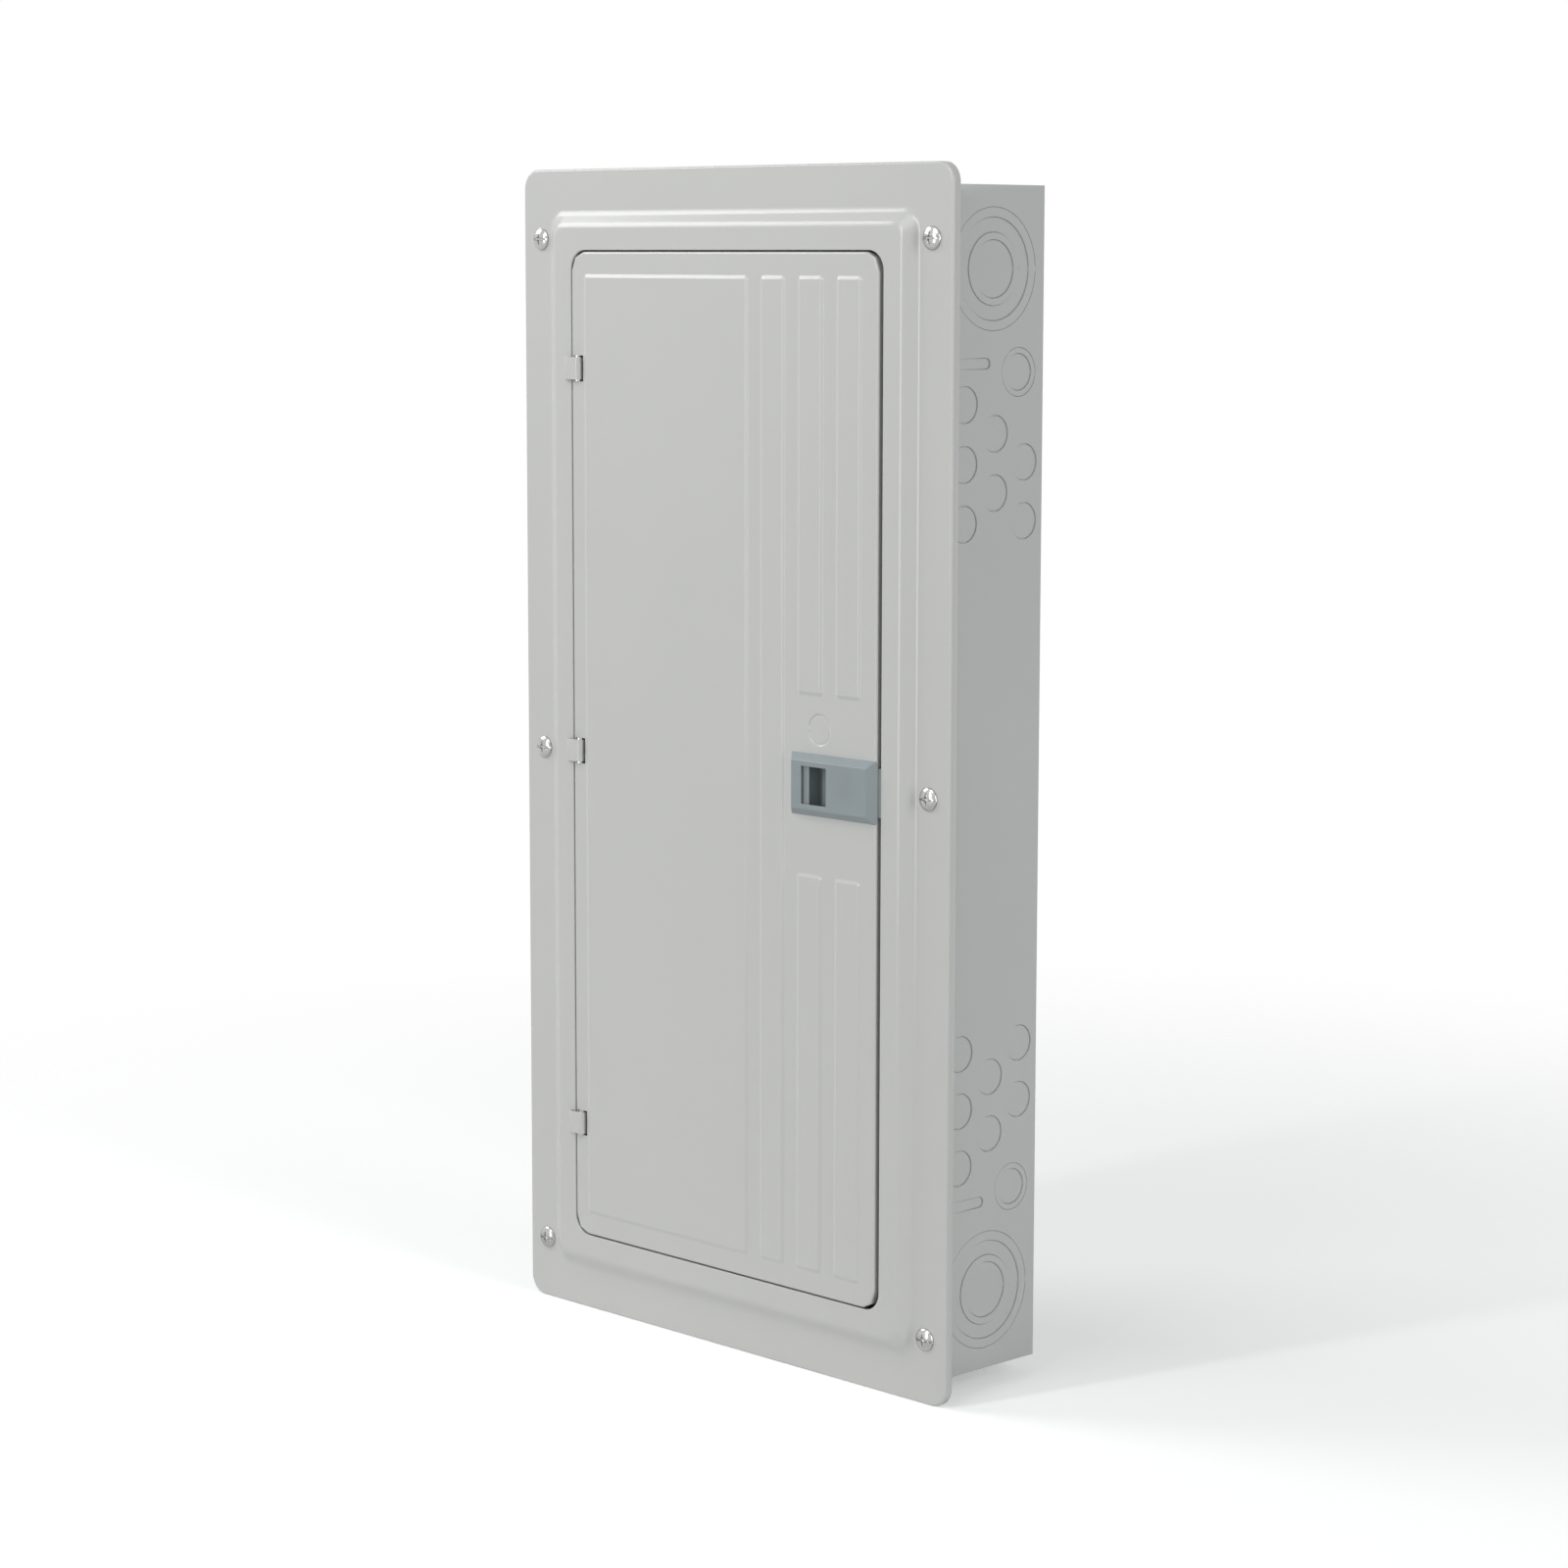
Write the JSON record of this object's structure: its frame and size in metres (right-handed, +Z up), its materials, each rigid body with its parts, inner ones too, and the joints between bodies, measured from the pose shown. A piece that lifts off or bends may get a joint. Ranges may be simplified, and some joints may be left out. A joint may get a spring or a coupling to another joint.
{
  "type": "residential load center",
  "caption": "Flush-mounted breaker panel: sheet-steel box with knockouts, embossed trim, hinged latching door, deadfront, bus bars, main breaker and branch breakers.",
  "frame": {"origin": "centre of the box's back face, which lies against the wall", "axes": "+Z up, front towards -Y, +X to the right as seen from the front"},
  "size_m": [0.3938, 0.1119, 0.7684],
  "materials": {
    "trim_paint": "satin warm grey enamel",
    "box_steel": "grey enamel",
    "zinc": "bright zinc plate",
    "latch_plastic": "grey moulded plastic",
    "latch_slide_plastic": "dark moulded plastic",
    "case_plastic": "black moulded phenolic",
    "handle_plastic": "black moulded handle",
    "insulator": "dark grey thermoplastic",
    "bus_metal": "tin-plated aluminium",
    "lug_metal": "extruded aluminium",
    "spring_steel": "spring steel",
    "green_screw": "green passivated screw",
    "card": "plain white card"
  },
  "bodies": {
    "root": {"bonding_screw": "green_screw", "bottom_end_wall": "box_steel", "box_wrapper": "box_steel", "branch_breaker_left_1": "case_plastic", "branch_breaker_left_3": "case_plastic", "branch_breaker_left_4": "case_plastic", "branch_breaker_left_5": "case_plastic", "branch_breaker_right_1": "case_plastic", "branch_breaker_right_3": "case_plastic", "branch_breaker_right_4": "case_plastic", "branch_breaker_right_5": "case_plastic", "branch_terminal_screws": "zinc", "bus_bar_a": "bus_metal", "bus_bar_b": "bus_metal", "bus_bolts": "zinc", "bus_insulator": "insulator", "deadfront": "trim_paint", "deadfront_frame": "trim_paint", "ground_bar": "lug_metal", "ground_screws": "zinc", "ground_standoffs": "insulator", "hinge_straps": "trim_paint", "interior_pan": "zinc", "left_breaker_rail": "zinc", "line_lug_a": "lug_metal", "line_lug_b": "lug_metal", "lug_screws": "zinc", "main_breaker_case": "case_plastic", "neutral_bar_left": "lug_metal", "neutral_bar_right": "lug_metal", "neutral_lug": "lug_metal", "neutral_screws": "zinc", "neutral_standoffs": "insulator", "neutral_strap": "lug_metal", "pan_screws": "zinc", "right_breaker_rail": "zinc", "top_end_wall": "box_steel", "trim_panel": "trim_paint", "trim_screws": "zinc"},
    "door": {"door_panel": "trim_paint", "directory_card": "card", "hinge_pins": "zinc", "latch_bezel": "latch_plastic", "latch_back_plate": "latch_plastic", "latch_springs": "spring_steel"},
    "latch_slider": {"latch_slider": "latch_slide_plastic"},
    "main_handle": {"main_breaker_handle": "handle_plastic"},
    "branch_handle_left_1": {"branch_handle_left_1": "handle_plastic"},
    "branch_handle_left_3": {"branch_handle_left_3": "handle_plastic"},
    "branch_handle_left_4": {"branch_handle_left_4": "handle_plastic"},
    "branch_handle_left_5": {"branch_handle_left_5": "handle_plastic"},
    "branch_handle_right_1": {"branch_handle_right_1": "handle_plastic"},
    "branch_handle_right_3": {"branch_handle_right_3": "handle_plastic"},
    "branch_handle_right_4": {"branch_handle_right_4": "handle_plastic"},
    "branch_handle_right_5": {"branch_handle_right_5": "handle_plastic"}
  },
  "joints": [
    {"name": "door_hinge", "type": "hinge", "parent": "root", "child": "door", "pos_m": [-0.1358, -0.106, 0], "axis": [0, 0, -1], "range_deg": [0, 110]},
    {"name": "latch_slide", "type": "slide", "parent": "door", "child": "latch_slider", "axis": [-1, 0, 0], "range_m": [0, 0.0042], "stiffness_N_per_m": 400, "springref_m": -0.006, "deforming": ["latch_springs"]},
    {"name": "main_handle_hinge", "type": "hinge", "parent": "root", "child": "main_handle", "pos_m": [0, -0.066, 0.177], "axis": [1, 0, 0], "range_deg": [0, 36]},
    {"name": "branch_hinge_left_1", "type": "hinge", "parent": "root", "child": "branch_handle_left_1", "pos_m": [-0.0405, -0.0705, 0.0796], "axis": [0, 0, -1], "range_deg": [0, 34]},
    {"name": "branch_hinge_left_3", "type": "hinge", "parent": "root", "child": "branch_handle_left_3", "pos_m": [-0.0405, -0.0705, 0.0415], "axis": [0, 0, -1], "range_deg": [0, 34]},
    {"name": "branch_hinge_left_4", "type": "hinge", "parent": "root", "child": "branch_handle_left_4", "pos_m": [-0.0405, -0.0705, 0.0161], "axis": [0, 0, -1], "range_deg": [0, 34]},
    {"name": "branch_hinge_left_5", "type": "hinge", "parent": "root", "child": "branch_handle_left_5", "pos_m": [-0.0405, -0.0705, -0.0093], "axis": [0, 0, -1], "range_deg": [0, 34]},
    {"name": "branch_hinge_right_1", "type": "hinge", "parent": "root", "child": "branch_handle_right_1", "pos_m": [0.0405, -0.0705, 0.0796], "axis": [0, 0, 1], "range_deg": [0, 34]},
    {"name": "branch_hinge_right_3", "type": "hinge", "parent": "root", "child": "branch_handle_right_3", "pos_m": [0.0405, -0.0705, 0.0415], "axis": [0, 0, 1], "range_deg": [0, 34]},
    {"name": "branch_hinge_right_4", "type": "hinge", "parent": "root", "child": "branch_handle_right_4", "pos_m": [0.0405, -0.0705, 0.0161], "axis": [0, 0, 1], "range_deg": [0, 34]},
    {"name": "branch_hinge_right_5", "type": "hinge", "parent": "root", "child": "branch_handle_right_5", "pos_m": [0.0405, -0.0705, -0.0093], "axis": [0, 0, 1], "range_deg": [0, 34]}
  ]
}
